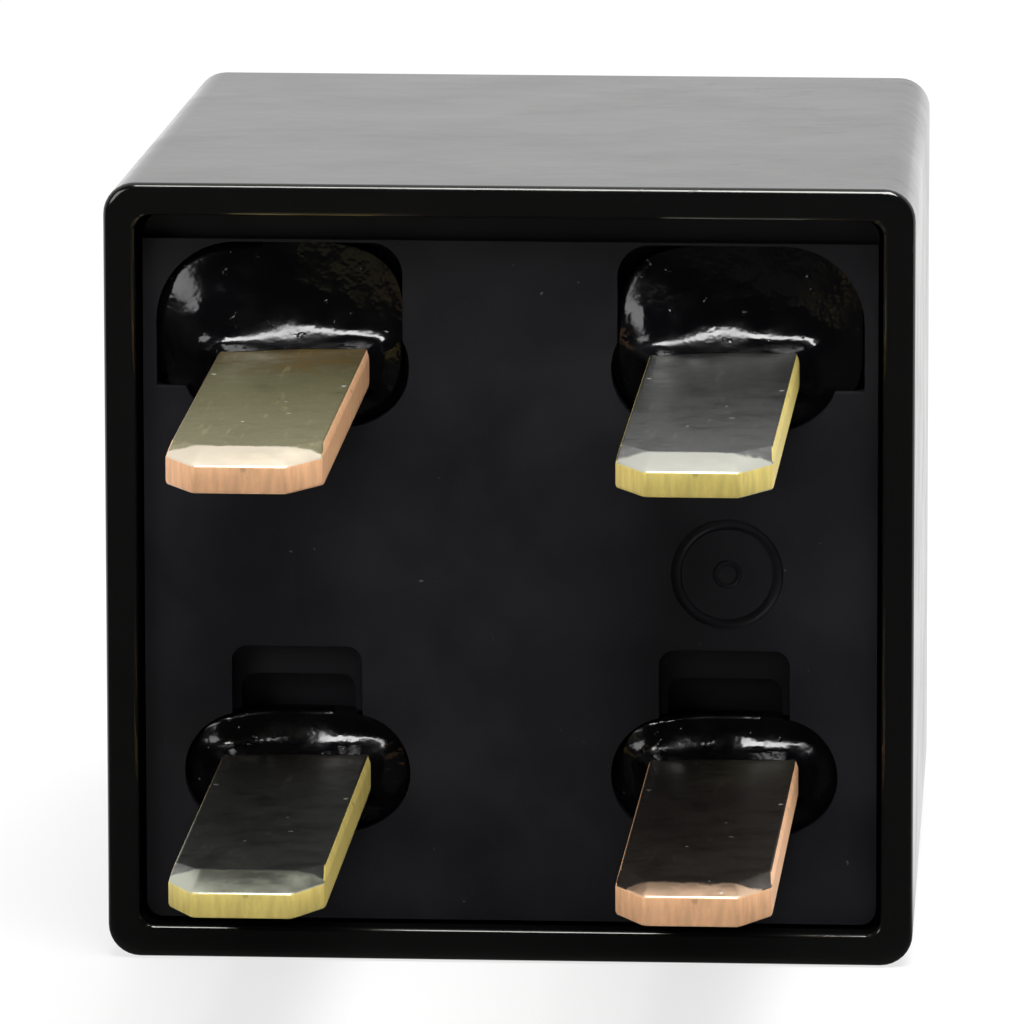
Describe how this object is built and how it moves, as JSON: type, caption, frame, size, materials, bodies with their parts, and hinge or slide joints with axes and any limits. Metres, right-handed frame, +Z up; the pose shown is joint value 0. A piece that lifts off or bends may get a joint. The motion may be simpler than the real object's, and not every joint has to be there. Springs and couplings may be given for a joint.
{
  "type": "automotive relay",
  "caption": "Small plug-in automotive relay: black moulded case, recessed base with resin-sealed tinned blades, hinged armature and coil inside.",
  "frame": {"origin": "middle of the bounding box, at the lowest line of the case's resting side", "axes": "+Z up with the relay lying on its side, +Y from the open rim towards the closed face of the case, blades point to -Y, +X across the blades' width"},
  "size_m": [0.015, 0.0272, 0.0147],
  "materials": {
    "case_plastic": "glossy moulded black with faint scratches",
    "base_plastic": "satin moulded black with a faint violet cast",
    "seal_resin": "glossy poured resin",
    "tinned_copper": "copper strip, tinned on its flats, bare on its cut edges",
    "tinned_brass": "brass strip, tinned on its flats, bare on its cut edges",
    "bobbin_plastic": "satin moulded natural polyester",
    "coil_wire": "enamelled copper wire",
    "soft_iron": "bright zinc plated iron",
    "spring_bronze": "rolled bronze leaf",
    "contact_silver": "silver alloy",
    "rivet_steel": "plated steel",
    "solder_tin": "bright solder"
  },
  "bodies": {
    "housing": {"cover": "case_plastic", "base": "base_plastic", "terminal_30": "tinned_copper", "terminal_87": "tinned_copper", "terminal_85": "tinned_brass", "terminal_86": "tinned_brass", "seal_30": "seal_resin", "seal_87": "seal_resin", "seal_85": "seal_resin", "seal_86": "seal_resin", "bobbin": "bobbin_plastic", "coil_winding": "coil_wire", "core": "soft_iron", "yoke": "soft_iron", "fixed_contact": "contact_silver", "yoke_rivets": "rivet_steel", "terminal_rivet": "rivet_steel", "lead_start": "coil_wire", "lead_end": "coil_wire", "solder_85": "solder_tin", "solder_86": "solder_tin"},
    "armature": {"armature": "soft_iron", "contact_spring": "spring_bronze", "moving_contact": "contact_silver", "armature_rivets": "rivet_steel"}
  },
  "joints": [
    {"name": "armature_hinge", "type": "hinge", "parent": "housing", "child": "armature", "pos_m": [-0.0061, 0.00934, 0.00735], "axis": [0, 0, -1], "range_deg": [0, 3], "stiffness_Nm_per_rad": 0.004, "deforming": ["contact_spring"]}
  ]
}
